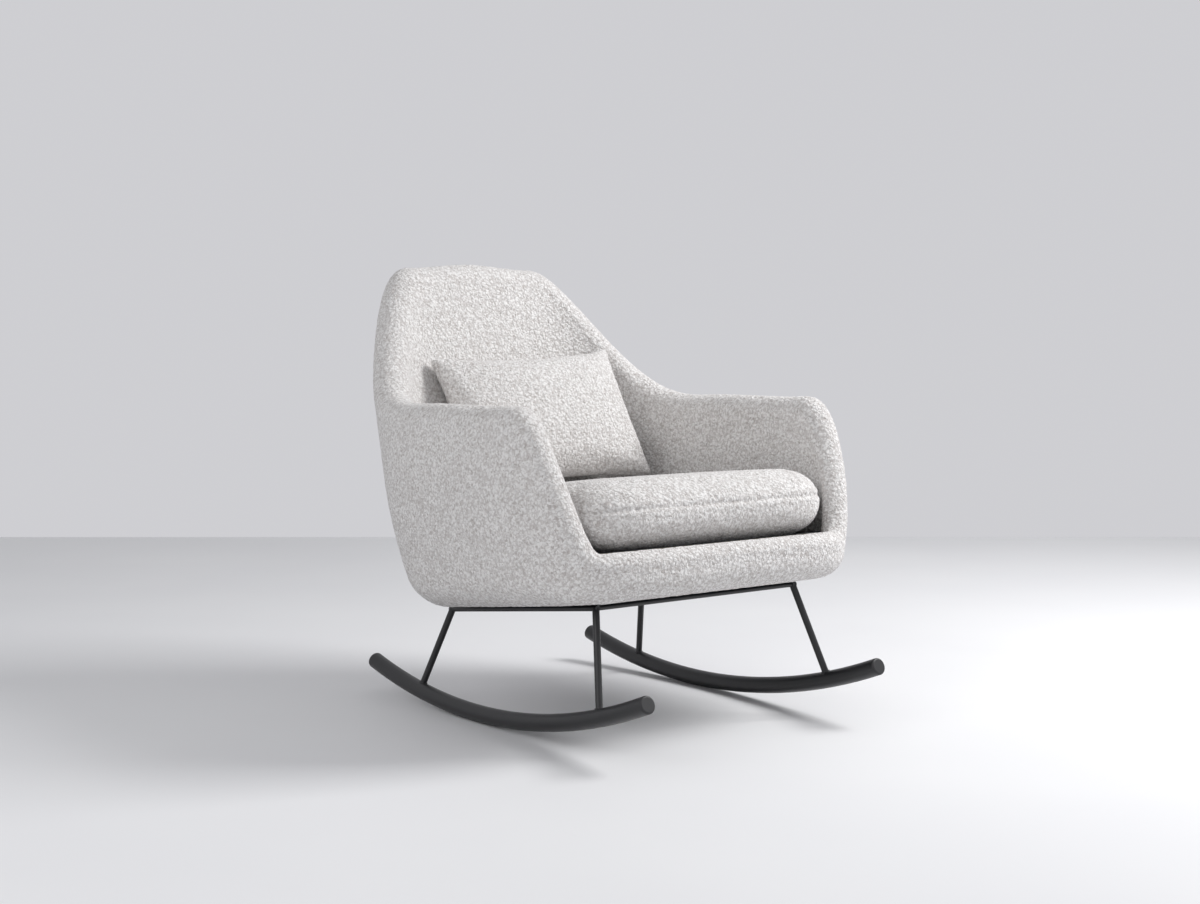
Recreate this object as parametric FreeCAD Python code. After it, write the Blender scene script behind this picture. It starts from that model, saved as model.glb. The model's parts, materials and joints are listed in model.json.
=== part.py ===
"""Upholstered rocking chair.

A welded base of two bent-tube rockers, four rod legs and four rails carries a padded tub shell.
A loose seat cushion lies in the shell and a loose lumbar pillow leans on its back.

Lengths are millimetres. +Z is up and the front faces -Y, so +X is the sitter's left.
The origin is on the floor, midway between the two lines where the rockers touch it.
The seat frame is tilted back: its origin lies on the underside of the shell, its Y runs
rearwards along the underside and its Z is square to the seat.
"""
import FreeCAD
import Part
import bisect
import math
import os

V = FreeCAD.Vector

# Place and tilt of the seat
seat_tilt = 7.2
seat_shift = -16.0
seat_height = 208.6

# Plan of the shell, measured from the seat origin
shell_half_width = 360.0
shell_front_reach = 418.0
shell_rear_reach = 245.0
shell_widest_ahead = 30.0
front_squareness = 4.8
rear_squareness = 3.1

# Walls of the shell, heights above its underside
front_wall = 42.0
arm_wall = 64.0
back_wall = 77.0
apron_height = 77.0
arm_height = 323.0
arm_rise = 33.0
back_height = 651.0
back_crown = 10.0
belt_height = 240.0
belt_taper = 33.0
back_lean = 11.7
apron_lean = 2.9

# Where the rim climbs, measured along the plan
arm_slope_start = 277.0
arm_slope_end = 451.0
arm_shoulder = 1.7
back_slope_start = 530.0
back_slope_end = 147.0
back_sweep = 2.1
arm_rise_lead = 60.0
arm_rise_end = 426.0

# Where the wall thickens and leans and its lower edge changes, measured along the plan
front_wall_end = 300.0
front_wall_fade = 200.0
lean_slope_start = 526.0
apron_lean_end = 200.0
apron_lean_fade = 300.0
side_round_start = 250.0
side_round_run = 250.0
rear_round_start = 450.0
rear_round_run = 350.0

# Rounding of the shell's lower edge
under_round_front = 34.0
under_round_side = 44.0
under_round_rear = 98.0
round_limit = 0.8

# Layers of the upholstery
cover_thickness = 3.0
cover_flange = 20.0
core_thickness = 6.0
core_depth = 22.0
core_flange = 30.0
core_knee_rise = 20.0
core_knee_drop = 8.0
core_clearance = 0.3
deck_level = 77.0
deck_drop = 2.0
deck_cloth_thickness = 1.0
dust_cover_thickness = 1.0
layer_clearance = 1.0
seat_gap = 0.4
cut_past = 1.0

# Seat board, webbing and their fixings
board_thickness = 15.0
board_margin = 6.0
hole_side_inset = 195.0
hole_front_inset = 183.0
hole_rear_inset = 230.0
hole_corner = 40.0
strap_width = 50.0
strap_thickness = 3.0
strap_count = 4
strap_hold = 22.0
screw_head_radius = 4.0
screw_head_height = 2.5
screw_radius = 2.0
screw_length = 15.0
screw_room = 0.5
screw_stations = (2, 8, 14, 19, 23, 26)
staple_crown = 11.0
staple_wire = 1.2
staple_leg = 9.0
staples_per_side = 9
staple_inset = 8.0

# Steel base
rocker_splay = 36.0
rocker_radius = 1300.0
rocker_front_tail = 117.0
rocker_rear_tail = 155.0
rocker_tube = 30.0
rocker_tube_wall = 2.0
cap_head = 5.0
cap_round = 3.5
cap_spigot = 14.0
cap_clearance = 0.3
leg_diameter = 12.0
leg_front_rake = 71.0
leg_rear_rake = 35.0
rail_diameter = 10.0
cross_rail_diameter = 9.0
rail_side_inset = 138.0
rail_front_inset = 132.0
rail_rear_inset = 106.0
plate_thickness = 3.0
plate_width = 48.0
plate_length = 60.0
plate_corner = 6.0
plate_overhang = 2.0
plate_front_inset = 163.0
plate_rear_inset = 183.0
bolt_inset = 26.0
bolt_radius = 4.0
bolt_head_flats = 13.0
bolt_head_height = 5.3
washer_radius = 8.0
washer_thickness = 1.6
bolt_hole_clearance = 0.3
tee_nut_flange_radius = 10.0
tee_nut_flange = 1.5
tee_nut_barrel_radius = 5.5
tee_nut_depth = 11.0

# Seat cushion
cushion_side_gap = 8.0
cushion_front_inset = 41.0
cushion_rear_gap = 8.0
cushion_thickness = 112.0
cushion_crown = 7.0
cushion_end_round = 72.0
cushion_end_power = 2.4
cushion_front_squareness = 6.0
cushion_rear_corner = 120.0
cushion_rear_round = 34.0
cushion_rear_flat = 16.0
cushion_front_share = 0.4
cushion_rear_share = 0.2
cushion_seam_height = 0.56
cushion_seam_depth = 2.0
cushion_cloth = 2.0
zip_length = 260.0
zip_tape_thickness = 1.2
zip_slider_length = 12.0
zip_slider_rise = 2.4
zip_gap = 0.4

# Lumbar pillow
pillow_width = 404.0
pillow_height = 288.0
pillow_thickness = 128.0
pillow_edge = 7.0
pillow_draw_in = 16.0
pillow_end_power = 2.6
pillow_end_fullness = 0.7
pillow_cloth = 2.0
pillow_lean = 24.0
pillow_roll = 1.9
pillow_turn = 4.0
pillow_side = 33.0
pillow_back_set = 60.8
pillow_rise = 6.93

# Worked out
cover_bottom = -cover_thickness
dust_bottom = cover_bottom - dust_cover_thickness
plate_bottom = dust_bottom - plate_thickness
rail_level = plate_bottom - rail_diameter / 2
flange_top = board_thickness + core_thickness
hole_half_width = shell_half_width - hole_side_inset
hole_front = hole_front_inset - shell_front_reach
hole_rear = shell_rear_reach - hole_rear_inset
rail_half_spacing = shell_half_width - rail_side_inset
rail_front = rail_front_inset - shell_front_reach
rail_rear = shell_rear_reach - rail_rear_inset
plate_front = plate_front_inset - shell_front_reach
plate_rear = shell_rear_reach - plate_rear_inset
rocker_half_spacing = rail_half_spacing + rocker_splay
leg_front_foot = rail_front - leg_front_rake
leg_rear_foot = rail_rear + leg_rear_rake
rocker_front_end = leg_front_foot - rocker_front_tail
rocker_rear_end = leg_rear_foot + rocker_rear_tail
cushion_half_width = shell_half_width - arm_wall - cushion_side_gap
cushion_front = cushion_front_inset - shell_front_reach
cushion_rear = shell_rear_reach - back_wall - cushion_rear_gap
cushion_bottom = deck_level + deck_cloth_thickness + seat_gap
pillow_back = shell_rear_reach - back_wall - pillow_thickness / 2 + pillow_back_set
pillow_lift = cushion_bottom + cushion_thickness + pillow_rise
pillow_lift += pillow_height / 2 * math.cos(math.radians(pillow_lean))
bolt_x = rail_half_spacing - bolt_inset
bolt_hole = bolt_radius + bolt_hole_clearance
x_axis = V(1, 0, 0)
y_axis = V(0, 1, 0)
z_axis = V(0, 0, 1)
sides = {"left": 1, "right": -1}


def smooth(share):
    """Climb from 0 to 1 with level ends."""
    share = min(max(share, 0.0), 1.0)
    return share * share * (3 - 2 * share)


def plan_ray(angle):
    """Point of the shell's outer plan on the ray at this angle from straight ahead."""
    side = abs(math.sin(angle))
    ahead = math.cos(angle)
    if ahead > 0:
        reach = shell_front_reach - shell_widest_ahead
        power = front_squareness
    else:
        reach = shell_rear_reach + shell_widest_ahead
        power = rear_squareness
    size = ((side / shell_half_width) ** power + (abs(ahead) / reach) ** power) ** (-1 / power)
    return size * side, -shell_widest_ahead - size * ahead


def plan_normal(x, y):
    """Outward direction of the plan at one of its points."""
    offset = y + shell_widest_ahead
    if offset < 0:
        reach = shell_front_reach - shell_widest_ahead
        power = front_squareness
    else:
        reach = shell_rear_reach + shell_widest_ahead
        power = rear_squareness
    nx = (x / shell_half_width) ** (power - 1) / shell_half_width
    ny = math.copysign((abs(offset) / reach) ** (power - 1) / reach, offset)
    length = math.hypot(nx, ny)
    return nx / length, ny / length


plan_steps = 900
plan_points = [plan_ray(math.pi * step / plan_steps) for step in range(plan_steps + 1)]
plan_lengths = [0.0]
for here, ahead in zip(plan_points, plan_points[1:]):
    plan_lengths.append(plan_lengths[-1] + math.hypot(ahead[0] - here[0], ahead[1] - here[1]))
plan_length = plan_lengths[-1]
back_start = plan_length - back_slope_start
back_end = plan_length - back_slope_end
lean_start = plan_length - lean_slope_start


def plan_at(along):
    """Point of half the plan at a distance from the front centre."""
    step = min(max(bisect.bisect_right(plan_lengths, along) - 1, 0), plan_steps - 1)
    share = (along - plan_lengths[step]) / (plan_lengths[step + 1] - plan_lengths[step])
    (x0, y0), (x1, y1) = plan_points[step], plan_points[step + 1]
    return x0 + share * (x1 - x0), y0 + share * (y1 - y0)


def back_share(along):
    """0 along the front and arms, 1 along the back."""
    return smooth((along - back_start) / (back_end - back_start)) ** back_sweep


def rim_top(along):
    """Height of the rim: low apron, climb to the arm, level arm, climb to the back."""
    back = back_share(along)
    climb = smooth((along - arm_slope_start) / (arm_slope_end - arm_slope_start))
    climb = 1 - (1 - climb) ** arm_shoulder
    rise_start = arm_slope_end - arm_rise_lead
    arm_share = smooth((along - rise_start) / (plan_length - arm_rise_end - rise_start))
    height = apron_height + (arm_height - apron_height) * climb
    height += arm_rise * arm_share * (1 - back)
    height += (back_height - arm_height) * back
    return height - back_crown * back * smooth((plan_length - along) / back_slope_end)


class Station:
    """One upright cut through the shell wall, a distance along the plan from the front centre."""

    def __init__(self, along):
        self.x, self.y = plan_at(along)
        self.nx, self.ny = plan_normal(self.x, self.y)
        back = back_share(along)
        thick = smooth((along - front_wall_end) / front_wall_fade)
        self.wall = front_wall + (arm_wall - front_wall) * thick + (back_wall - arm_wall) * back
        slope = rim_top(along + 1) / 2 - rim_top(along - 1) / 2
        top = rim_top(along)
        self.rim_rise = min(self.wall / 2 * math.hypot(1, slope), round_limit * top)
        self.spine = top - self.rim_rise
        leaning = smooth((along - lean_start) / (back_end - lean_start))
        upright = smooth((along - apron_lean_end) / apron_lean_fade)
        self.lean = math.tan(math.radians(back_lean)) * leaning
        self.lean += math.tan(math.radians(apron_lean)) * (1 - upright)
        side_share = smooth((along - side_round_start) / side_round_run)
        rear_share = smooth((along - plan_length + rear_round_start) / rear_round_run)
        round_wanted = under_round_front + (under_round_side - under_round_front) * side_share
        round_wanted += (under_round_rear - under_round_side) * rear_share
        self.under_round = min(round_wanted, round_limit * self.spine)
        under = belt_taper + self.under_round + cover_thickness + board_margin
        self.inner = self.taper(self.spine) - self.wall
        self.edge = min(-under, self.inner - board_margin)
        self.deck = min(deck_level, self.spine - deck_drop)

    def at(self, out, up):
        """Point at a distance outwards from the plan and a height."""
        return V(self.x + self.nx * out, self.y + self.ny * out + self.lean * up, up)

    def taper(self, up):
        """How far the outside is drawn in below the belt."""
        return -belt_taper * max(1 - up / belt_height, 0) ** 2

    def under(self, inset, angle):
        """Point of the rounded lower edge, from 0 degrees underneath to 90 on the outside."""
        size = self.under_round + cover_thickness - inset
        up = self.under_round - size * math.cos(math.radians(angle))
        centre = self.taper(up) - self.under_round - cover_thickness
        return self.at(centre + size * math.sin(math.radians(angle)), up)

    def outside(self, inset, share):
        """Point of the outside, from the lower edge at 0 to the rim at 1."""
        up = self.under_round + (self.spine - self.under_round) * share
        return self.at(self.taper(up) - inset, up)

    def rim(self, inset, angle):
        """Point of the rounded rim, from 0 degrees outside over the top to 180 inside."""
        half = self.wall / 2 - inset
        rise = self.rim_rise * half / (self.wall / 2)
        out = self.inner + self.wall / 2 + half * math.cos(math.radians(angle))
        return self.at(out, self.spine + rise * math.sin(math.radians(angle)))


def spread(start, end, count):
    """Evenly spaced distances after start, up to and including end."""
    return [start + (end - start) * step / count for step in range(1, count + 1)]


distances = [0.0]
distances += spread(0, arm_slope_start, 5)
distances += spread(arm_slope_start, arm_slope_end, 5)
distances += spread(arm_slope_end, back_start, 4)
distances += spread(back_start, back_end, 9)
distances += spread(back_end, plan_length, 3)
stations = [Station(along) for along in distances]


def closed_wire(runs):
    """Wire of lines, given by two points, and arcs, given by three."""
    edges = []
    for run in runs:
        curve = Part.LineSegment(*run) if len(run) == 2 else Part.Arc(*run)
        edges.append(curve.toShape())
    return Part.Wire(edges)


def polygon(points):
    """Runs of straight lines through the points and back to the first."""
    return [(here, there) for here, there in zip(points, points[1:] + points[:1])]


def skin_runs(station, inset):
    """Arcs from the underside round the outside and over the rim, below the cloth by inset."""
    return [
        (station.under(inset, 0), station.under(inset, 45), station.under(inset, 90)),
        (station.outside(inset, 0), station.outside(inset, 0.5), station.outside(inset, 1)),
        (station.rim(inset, 0), station.rim(inset, 45), station.rim(inset, 90)),
        (station.rim(inset, 90), station.rim(inset, 135), station.rim(inset, 180)),
    ]


def core_points(station, clearance):
    """Corners of the moulded core from the board edge round the heel, up the wall and back down."""
    half = core_thickness / 2 + clearance
    centre = station.inner + station.wall / 2
    knee = min(station.under_round + core_knee_rise, station.spine - core_knee_drop)
    return [
        station.at(station.edge, board_thickness - clearance),
        station.under(core_depth - clearance, 45),
        station.at(centre + half, knee),
        station.at(centre + half, station.spine + clearance),
        station.at(centre - half, station.spine + clearance),
        station.at(centre - half, knee),
        station.under(core_depth + core_thickness + clearance, 45),
        station.at(station.edge, flange_top + clearance),
    ]


def core_wire(station):
    """Section of the moulded core: a flange on the board and a bent upright."""
    inner_end = station.edge - core_flange
    points = [station.at(inner_end, board_thickness)] + core_points(station, 0)
    points.append(station.at(inner_end, flange_top))
    return closed_wire(polygon(points))


def foam_wire(station):
    """Section of the foam: the padded wall, its foot under the cushion and the core's slot."""
    runs = skin_runs(station, cover_thickness)
    points = [
        runs[-1][-1],
        station.at(station.inner + cover_thickness, station.deck),
        station.at(station.edge, station.deck),
    ]
    points += reversed(core_points(station, core_clearance))
    points += [station.at(station.edge, 0), runs[0][0]]
    return closed_wire(runs + list(zip(points, points[1:])))


def cover_wire(station):
    """Section of the cloth cover: a skin from its flange under the board to the deck."""
    outer = skin_runs(station, 0)
    inner = [tuple(reversed(run)) for run in reversed(skin_runs(station, cover_thickness))]
    hem = station.deck + seat_gap
    outer_hem = station.at(station.inner, hem)
    inner_hem = station.at(station.inner + cover_thickness, hem)
    flange_end = station.edge - cover_flange
    flange = [station.at(flange_end, 0), station.at(flange_end, cover_bottom)]
    runs = outer + [(outer[-1][-1], outer_hem), (outer_hem, inner_hem), (inner_hem, inner[0][0])]
    runs += inner + [(inner[-1][-1], flange[0]), tuple(flange), (flange[1], outer[0][0])]
    return closed_wire(runs)


def ring(section):
    """Solid carried round the whole plan: a ruled loft of one half and its mirror image."""
    half = Part.makeLoft([section(station) for station in stations], True, True)
    whole = half.fuse(half.mirror(V(0, 0, 0), x_axis))
    return whole.Solids[0]


def plan_wire(offset, up):
    """Closed outline at a height, at each station's own offset from the plan."""
    half = [station.at(offset(station), up) for station in stations]
    other = [V(-point.x, point.y, point.z) for point in half[-2:0:-1]]
    return Part.makePolygon(half + other + half[:1])


def slab(offset, bottom, top):
    """Flat sheet between two heights inside such outlines."""
    return Part.makeLoft([plan_wire(offset, bottom), plan_wire(offset, top)], True, True)


def rod(start, end, radius):
    """Round bar between two points."""
    return Part.makeCylinder(radius, (end - start).Length, start, end - start)


def upright_rod(x, y, bottom, top, radius):
    """Round bar square to the seat."""
    return Part.makeCylinder(radius, top - bottom, V(x, y, bottom))


def block(low, high):
    """Box between two corners."""
    size = high - low
    return Part.makeBox(size.x, size.y, size.z, low)


def upright_edges(shape):
    """Edges of a block that run square to the seat."""
    return [edge for edge in shape.Edges if edge.tangentAt(0).cross(z_axis).Length < 0.01]


def seat_point(point):
    """Chair point of a point in the seat frame."""
    turned = FreeCAD.Rotation(x_axis, -seat_tilt).multVec(point)
    return turned + V(0, seat_shift, seat_height)


def in_chair(shape):
    """Shape moved from the seat frame into the chair's frame."""
    moved = shape.copy()
    moved.rotate(V(0, 0, 0), x_axis, -seat_tilt)
    moved.translate(V(0, seat_shift, seat_height))
    return moved


nodes = {}

# Bolt places, used by the plates, the board, the dust cover and the fixings
bolt_places = []
for side in sides.values():
    for y in (plate_front, plate_rear):
        bolt_places.append((side * bolt_x, y))


def bolt_holes(bottom, top, radius):
    """Cylinders through the bolt places."""
    return [upright_rod(x, y, bottom, top, radius) for x, y in bolt_places]


# Seat board with its webbing hole, bolt holes, screw holes and staple holes
def board_edge(station):
    return station.edge - layer_clearance


screw_places = []
for index in screw_stations:
    station = stations[index]
    point = station.at(station.edge - core_flange / 2, flange_top)
    screw_places.append((point.x, point.y))
    if station is not stations[-1]:
        screw_places.append((-point.x, point.y))

hole = block(V(-hole_half_width, hole_front, -cut_past),
             V(hole_half_width, hole_rear, board_thickness + cut_past))
hole = hole.makeFillet(hole_corner, upright_edges(hole))

staple_places = []
for side in sides.values():
    for step in range(staples_per_side):
        share = (step + 0.5) / staples_per_side
        y = hole_front + share * (hole_rear - hole_front)
        staple_places.append((side * (hole_half_width + staple_inset), y, 90))
for y in (hole_front - staple_inset, hole_rear + staple_inset):
    for step in range(staples_per_side):
        share = (step + 0.5) / staples_per_side
        staple_places.append((hole_half_width * (2 * share - 1), y, 0))


def staple(x, y, turn):
    """Staple pushed up through the dust cover into the board."""
    low = dust_bottom - staple_wire
    half = staple_crown / 2
    wire = staple_wire / 2
    shape = block(V(-half, -wire, low), V(half, wire, dust_bottom))
    for end in (-half, half - staple_wire):
        shape = shape.fuse(block(V(end, -wire, low), V(end + staple_wire, wire, dust_bottom + staple_leg)))
    shape = shape.removeSplitter()
    shape.rotate(V(0, 0, 0), z_axis, turn)
    shape.translate(V(x, y, 0))
    return shape


staples = [staple(*place) for place in staple_places]

board = slab(board_edge, 0, board_thickness).cut(hole)
board = board.cut(bolt_holes(-cut_past, board_thickness + cut_past, tee_nut_barrel_radius))
screw_tip = flange_top - screw_length
board = board.cut([upright_rod(x, y, screw_tip, flange_top, screw_radius) for x, y in screw_places])
nodes["seat_board"] = in_chair(board.cut(staples))

dust = slab(lambda station: station.edge - board_margin, dust_bottom, cover_bottom)
dust = dust.cut(bolt_holes(dust_bottom - cut_past, cover_bottom + cut_past, bolt_hole))
nodes["dust_cover"] = in_chair(dust.cut(staples))
nodes["dust_cover_staples"] = in_chair(Part.makeCompound(staples))

# Elastic webbing over the hole: long straps on the board, cross straps on top of them
long_straps = []
cross_straps = []
for index in range(strap_count):
    share = (index + 0.5) / strap_count
    x = hole_half_width * (2 * share - 1)
    y = hole_front + share * (hole_rear - hole_front)
    half = strap_width / 2
    low = board_thickness
    long_straps.append(block(V(x - half, hole_front - strap_hold, low),
                             V(x + half, hole_rear + strap_hold, low + strap_thickness)))
    low = board_thickness + strap_thickness
    cross_straps.append(block(V(-hole_half_width - strap_hold, y - half, low),
                              V(hole_half_width + strap_hold, y + half, low + strap_thickness)))
nodes["webbing_long"] = in_chair(Part.makeCompound(long_straps))
nodes["webbing_cross"] = in_chair(Part.makeCompound(cross_straps))

# Moulded core, screwed to the board
screws = []
for x, y in screw_places:
    head = upright_rod(x, y, flange_top, flange_top + screw_head_height, screw_head_radius)
    shank = upright_rod(x, y, screw_tip, flange_top, screw_radius)
    screws.append(head.fuse(shank).removeSplitter())
nodes["core_screws"] = in_chair(Part.makeCompound(screws))
nodes["shell_core"] = in_chair(ring(core_wire).cut(screws))

# Foam, cover and the deck under the cushion
nodes["shell_foam"] = in_chair(ring(foam_wire))
nodes["shell_cover"] = in_chair(ring(cover_wire))
deck_bottom = board_thickness + 2 * strap_thickness
deck_pad = slab(board_edge, deck_bottom, deck_level)
rooms = []
for x, y in screw_places:
    room_top = flange_top + screw_head_height + screw_room
    rooms.append(upright_rod(x, y, flange_top, room_top, screw_head_radius + screw_room))
nodes["deck_pad"] = in_chair(deck_pad.cut(rooms))
cloth_top = deck_level + deck_cloth_thickness
cloth = slab(lambda station: station.inner - layer_clearance, deck_level, cloth_top)
nodes["deck_cloth"] = in_chair(cloth)

# Bolts, washers and tee nuts that hold the shell on the base
bolts = []
washers = []
tee_nuts = []
head_top = plate_bottom - washer_thickness
for x, y in bolt_places:
    hexagon = Part.makePolygon([
        V(x + bolt_head_flats / math.sqrt(3) * math.cos(math.radians(60 * corner)),
          y + bolt_head_flats / math.sqrt(3) * math.sin(math.radians(60 * corner)),
          head_top - bolt_head_height) for corner in range(7)])
    head = Part.Face(hexagon).extrude(V(0, 0, bolt_head_height))
    shank = upright_rod(x, y, head_top, board_thickness, bolt_radius)
    bolts.append(head.fuse(shank).removeSplitter())
    washer = upright_rod(x, y, head_top, plate_bottom, washer_radius)
    washers.append(washer.cut(upright_rod(x, y, head_top, plate_bottom, bolt_hole)))
    nut_top = board_thickness + tee_nut_flange
    barrel = upright_rod(x, y, board_thickness - tee_nut_depth, board_thickness, tee_nut_barrel_radius)
    flange = upright_rod(x, y, board_thickness, nut_top, tee_nut_flange_radius)
    bore = upright_rod(x, y, 0, nut_top, bolt_radius)
    tee_nuts.append(barrel.fuse(flange).cut(bore).removeSplitter())
nodes["frame_bolts"] = in_chair(Part.makeCompound(bolts))
nodes["frame_washers"] = in_chair(Part.makeCompound(washers))
nodes["tee_nuts"] = in_chair(Part.makeCompound(tee_nuts))

# Rockers: bent tubes with plugs in their ends
rocker_line = rocker_radius - rocker_tube / 2
front_angle = math.degrees(math.asin(rocker_front_end / rocker_line))
rear_angle = math.degrees(math.asin(rocker_rear_end / rocker_line))


def rocker_bar(x, radius):
    """Round bar along the rocker's arc."""
    start = V(x, 0, rocker_radius - rocker_line)
    face = Part.Face(Part.Wire([Part.makeCircle(radius, start, y_axis)]))
    face.rotate(V(x, 0, rocker_radius), x_axis, front_angle)
    return face.revolve(V(x, 0, rocker_radius), x_axis, rear_angle - front_angle)


def rocker_plug():
    """End plug pointing along +Y, with its seat on the tube's end at the origin."""
    radius = rocker_tube / 2
    head = Part.makeCylinder(radius, cap_head, V(0, 0, 0), y_axis)
    outer_edges = [edge for edge in head.Edges if edge.BoundBox.YMin > cap_head - 0.01]
    head = head.makeFillet(cap_round, outer_edges)
    bore = radius - rocker_tube_wall - cap_clearance
    spigot = Part.makeCylinder(bore, cap_spigot, V(0, -cap_spigot, 0), y_axis)
    return head.fuse(spigot).removeSplitter()


# Rails and legs of the base
def rail_corner(side, y):
    return V(side * rail_half_spacing, y, rail_level)


leg_places = {"front": (leg_front_foot, rail_front), "rear": (leg_rear_foot, rail_rear)}
rail_radius = rail_diameter / 2
side_rails = {}
for name, side in sides.items():
    start = rail_corner(side, rail_front - leg_diameter / 2)
    side_rails[name] = in_chair(rod(start, rail_corner(side, rail_rear + leg_diameter / 2), rail_radius))
    nodes["rail_" + name] = side_rails[name]
for end, (_, y) in leg_places.items():
    across = in_chair(rod(rail_corner(-1, y), rail_corner(1, y), cross_rail_diameter / 2))
    nodes["rail_" + end] = across.cut(list(side_rails.values()))

for name, side in sides.items():
    x = side * rocker_half_spacing
    outer = rocker_bar(x, rocker_tube / 2)
    nodes["rocker_" + name] = outer.cut(rocker_bar(x, rocker_tube / 2 - rocker_tube_wall))
    for end, angle, turn in (("front", front_angle, 180), ("rear", rear_angle, 0)):
        plug = rocker_plug()
        plug.rotate(V(0, 0, 0), z_axis, turn)
        plug.translate(V(x, 0, rocker_radius - rocker_line))
        plug.rotate(V(x, 0, rocker_radius), x_axis, angle)
        nodes["rocker_plug_" + end + "_" + name] = plug
    for end, (foot, top) in leg_places.items():
        low = V(x, foot, rocker_radius - math.sqrt(rocker_line ** 2 - foot ** 2))
        leg = rod(low, seat_point(rail_corner(side, top)), leg_diameter / 2)
        nodes["leg_" + end + "_" + name] = leg.cut([outer, side_rails[name], nodes["rail_" + end]])

# Plates welded on the side rails and bolted to the board
for name, side in sides.items():
    for end, y in (("front", plate_front), ("rear", plate_rear)):
        outer_x = rail_half_spacing + plate_overhang
        low = V(outer_x - plate_width, y - plate_length / 2, plate_bottom)
        high = V(outer_x, y + plate_length / 2, dust_bottom)
        plate = block(low, high)
        plate = plate.makeFillet(plate_corner, upright_edges(plate))
        bore = upright_rod(bolt_x, y, plate_bottom - cut_past, dust_bottom + cut_past, bolt_hole)
        plate = plate.cut(bore)
        if side < 0:
            plate = plate.mirror(V(0, 0, 0), x_axis)
        nodes["mount_plate_" + end + "_" + name] = in_chair(plate)


# Seat cushion: upright sections from one rounded end to the other
def cushion_wire(x, inset):
    """Section with a full round front, a seam, a low crown and a flat strip at the rear."""
    half_width = cushion_half_width - inset
    share = min(abs(x) / half_width, 1)
    plan = (1 - share ** cushion_front_squareness) ** (1 / cushion_front_squareness)
    middle_y = -shell_widest_ahead
    front = middle_y + (cushion_front + inset - middle_y) * plan
    corner = max(abs(x) - half_width + cushion_rear_corner, 0) / cushion_rear_corner
    rear = cushion_rear - inset - cushion_rear_corner * (1 - math.sqrt(max(1 - corner ** 2, 0)))
    end = max(abs(x) - half_width + cushion_end_round, 0) / cushion_end_round
    full = math.sqrt(max(1 - end ** cushion_end_power, 0))
    height = (cushion_thickness - 2 * inset) * full
    middle = cushion_bottom + cushion_thickness / 2
    low = middle - height / 2
    high = middle + height / 2
    seam = low + height * cushion_seam_height
    round_depth = min(height / 2, (rear - front) * cushion_front_share)
    back_depth = min(cushion_rear_round, height * cushion_front_share, (rear - front) * cushion_rear_share)
    flat = min(cushion_rear_flat, height * cushion_rear_share) / 2
    crown = cushion_crown * full
    bow = math.sqrt(0.5)

    def point(y, z):
        return V(x, y, z)

    tip = front + cushion_seam_depth * full
    below = point(front + round_depth * (1 - bow), low + (seam - low) * (1 - bow))
    above = point(front + round_depth * (1 - bow), high - (high - seam) * (1 - bow))
    top_front = point(front + round_depth, high)
    top_rear = point(rear - back_depth, high)
    rear_high = point(rear, middle + flat)
    rear_low = point(rear, middle - flat)
    bottom_rear = point(rear - back_depth, low)
    bottom_front = point(front + round_depth, low)
    rear_bow_high = point(rear - back_depth * (1 - bow), high - (high - middle - flat) * (1 - bow))
    rear_bow_low = point(rear - back_depth * (1 - bow), low + (middle - flat - low) * (1 - bow))
    return closed_wire([
        (bottom_front, below, point(tip, seam)),
        (point(tip, seam), above, top_front),
        (top_front, point((top_front.y + top_rear.y) / 2, high + crown), top_rear),
        (top_rear, rear_bow_high, rear_high),
        (rear_high, rear_low),
        (rear_low, rear_bow_low, bottom_rear),
        (bottom_rear, bottom_front),
    ])


def cushion_body(inset):
    """Loft of the cushion, below its cloth by inset."""
    half_width = cushion_half_width - inset
    shares = (0.985, 0.95, 0.88, 0.78, 0.64, 0.42, 0.2)
    places = [-share for share in shares] + [0] + list(reversed(shares))
    return Part.makeLoft([cushion_wire(share * half_width, inset) for share in places], True, False)


cushion_core = cushion_body(cushion_cloth)
nodes["seat_cushion_core"] = in_chair(cushion_core)
nodes["seat_cushion_cover"] = in_chair(cushion_body(0).cut(cushion_core))
zip_front = cushion_rear + zip_gap
zip_middle = cushion_bottom + cushion_thickness / 2
zip_half = cushion_rear_flat / 2
tape = block(V(-zip_length / 2, zip_front, zip_middle - zip_half),
             V(zip_length / 2, zip_front + zip_tape_thickness, zip_middle + zip_half))
nodes["seat_cushion_zip"] = in_chair(tape)
slider_x = zip_length / 2 - zip_slider_length
slider_front = zip_front + zip_tape_thickness
slider_rear = slider_front + zip_slider_rise
slider = block(V(slider_x, slider_front, zip_middle - zip_half / 2),
               V(slider_x + zip_slider_length, slider_rear, zip_middle + zip_half / 2))
nodes["zip_slider"] = in_chair(slider)


# Lumbar pillow: two bulging faces that meet in a knife edge with drawn-out corners
def pillow_wire(share, inset):
    """Section across the pillow's width, from -1 at one end to 1 at the other."""
    x = share * (pillow_width / 2 - inset)
    bulge = (1 - abs(share) ** pillow_end_power) ** pillow_end_fullness
    half_height = pillow_height / 2 - inset - pillow_draw_in * (1 - share * share) / 2
    depth = pillow_edge / 2 + (pillow_thickness / 2 - inset - pillow_edge / 2) * bulge
    low = V(x, 0, -half_height)
    high = V(x, 0, half_height)
    return closed_wire([(low, V(x, -depth, 0), high), (high, V(x, depth, 0), low)])


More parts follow.
